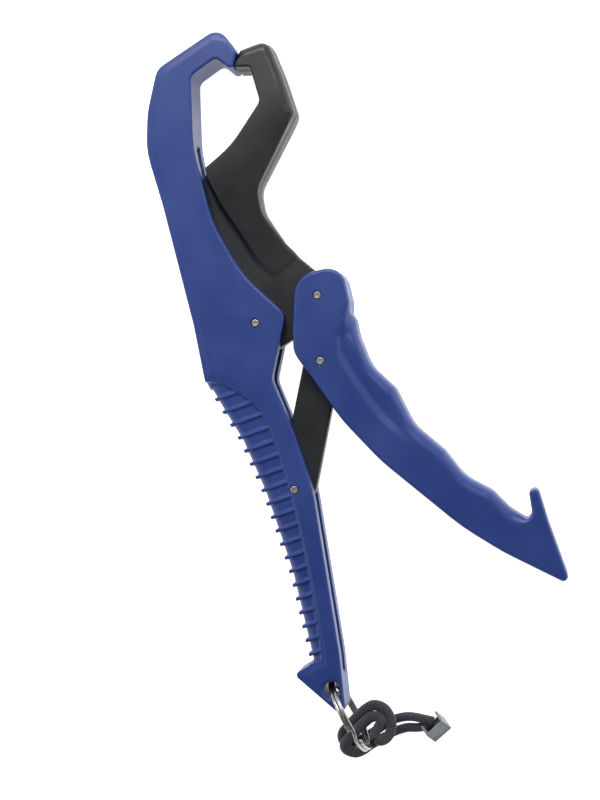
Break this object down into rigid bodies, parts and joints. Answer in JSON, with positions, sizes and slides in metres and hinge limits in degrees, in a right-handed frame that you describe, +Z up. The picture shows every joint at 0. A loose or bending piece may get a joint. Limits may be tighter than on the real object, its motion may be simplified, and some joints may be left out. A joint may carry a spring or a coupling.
{
  "type": "locking fish-lip gripper",
  "caption": "Locking fish-lip gripper: plastic handle with a hooked beak, a pivoting jaw, a finger lever and link, a split ring and a knotted cord with a clip.",
  "frame": {"origin": "centre of the footprint of the plastic tool and its ring, on the surface it lies on; the cord and its clip are left out of that measure", "axes": "lying on its side: +Y towards the jaws, +X towards the lever, +Z up through the thickness"},
  "size_m": [0.1152, 0.265, 0.028],
  "materials": {
    "blue_plastic": "satin moulded nylon with a soft sheen",
    "black_plastic": "satin glass-filled nylon",
    "pin_steel": "turned ends, slightly dulled",
    "ring_steel": "bright nickel with fine scratches",
    "cord_fabric": "woven elastic cord, dark grey",
    "clip_plastic": "moulded, grey"
  },
  "bodies": {
    "handle": {"body": "blue_plastic", "jaw_pin": "pin_steel", "anchor_pin": "pin_steel"},
    "upper_jaw": {"jaw": "black_plastic"},
    "finger_lever": {"lever": "blue_plastic", "lever_pin": "pin_steel", "link_pin": "pin_steel"},
    "coupler": {"link": "black_plastic"},
    "ring": {"split_ring": "ring_steel"},
    "lanyard": {"cord_outer_strand": "cord_fabric", "cord_inner_strand": "cord_fabric", "clip_base": "clip_plastic", "clip_lid": "clip_plastic"}
  },
  "joints": [
    {"name": "jaw_pivot", "type": "hinge", "parent": "handle", "child": "upper_jaw", "pos_m": [-0.0319, 0.0262, 0.014], "axis": [0, 0, -1], "range_deg": [0, 16]},
    {"name": "lever_pivot", "type": "hinge", "parent": "upper_jaw", "child": "finger_lever", "pos_m": [-0.0082, 0.0312, 0.014], "axis": [0, 0, 1], "range_deg": [0, 41.92]},
    {"name": "link_pivot", "type": "hinge", "parent": "handle", "child": "coupler", "pos_m": [-0.0303, -0.0345, 0.014], "axis": [0, 0, -1], "range_deg": [0, 15.84]},
    {"name": "ring_swing", "type": "hinge", "parent": "handle", "child": "ring", "pos_m": [-0.0316, -0.1063, 0.014], "axis": [0, 0, 1], "range_deg": [-13, 45]},
    {"name": "hitch_slide", "type": "hinge", "parent": "ring", "child": "lanyard", "pos_m": [-0.02824, -0.1173, 0.014], "axis": [-0.9563, -0.2924, 0], "range_deg": [0, 45]}
  ],
  "couplings": [
    {"joint": "lever_pivot", "follows": "jaw_pivot", "ratio": 2.62},
    {"joint": "link_pivot", "follows": "jaw_pivot", "ratio": 0.99}
  ]
}
